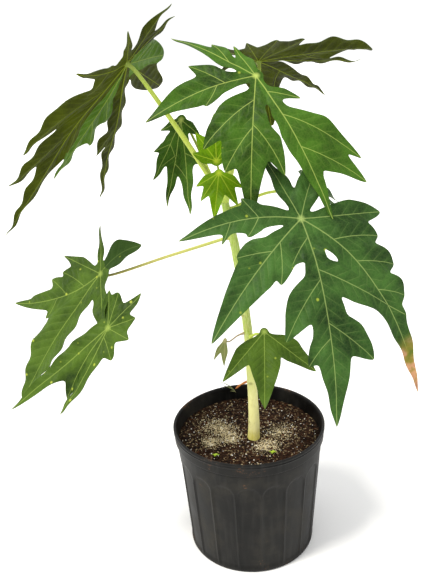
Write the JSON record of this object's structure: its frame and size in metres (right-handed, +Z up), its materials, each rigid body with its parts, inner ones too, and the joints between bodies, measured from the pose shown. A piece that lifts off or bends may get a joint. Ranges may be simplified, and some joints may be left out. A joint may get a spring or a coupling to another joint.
{
  "type": "potted young papaya tree",
  "caption": "Young papaya plant with a slender stem, long petioles and deeply lobed drooping leaves, growing in a round black nursery pot filled with potting mix",
  "frame": {"origin": "centre of the flat underside of the pot", "axes": "+Z up along the pot's axis, -Y towards the front, where the largest leaf hangs over the rim, +X to the right"},
  "size_m": [0.6454, 0.5266, 0.9817],
  "materials": {
    "pot": "satin",
    "soil": "matte",
    "stem": "satin",
    "petiole": "satin",
    "leaf_dark": "satin",
    "leaf_mid": "satin",
    "leaf_olive": "satin",
    "leaf_lime": "satin",
    "leaf_withered": "matte"
  },
  "bodies": {
    "root": {"pot": "pot", "soil": "soil", "stem": "stem", "leaf_front": "leaf_dark", "leaf_top": "leaf_dark", "leaf_back": "leaf_olive", "leaf_left_high": "leaf_olive", "leaf_left_low": "leaf_mid", "leaf_low": "leaf_mid", "leaf_young": "leaf_lime", "leaf_new": "leaf_lime", "leaf_inner": "leaf_olive", "leaf_rear": "leaf_dark", "leaf_withered": "leaf_withered", "petiole_front": "petiole", "petiole_top": "petiole", "petiole_back": "petiole", "petiole_left_high": "petiole", "petiole_left_low": "petiole", "petiole_low": "petiole", "petiole_young": "petiole", "petiole_new": "petiole", "petiole_inner": "petiole", "petiole_rear": "petiole", "petiole_withered": "petiole"}
  },
  "joints": []
}
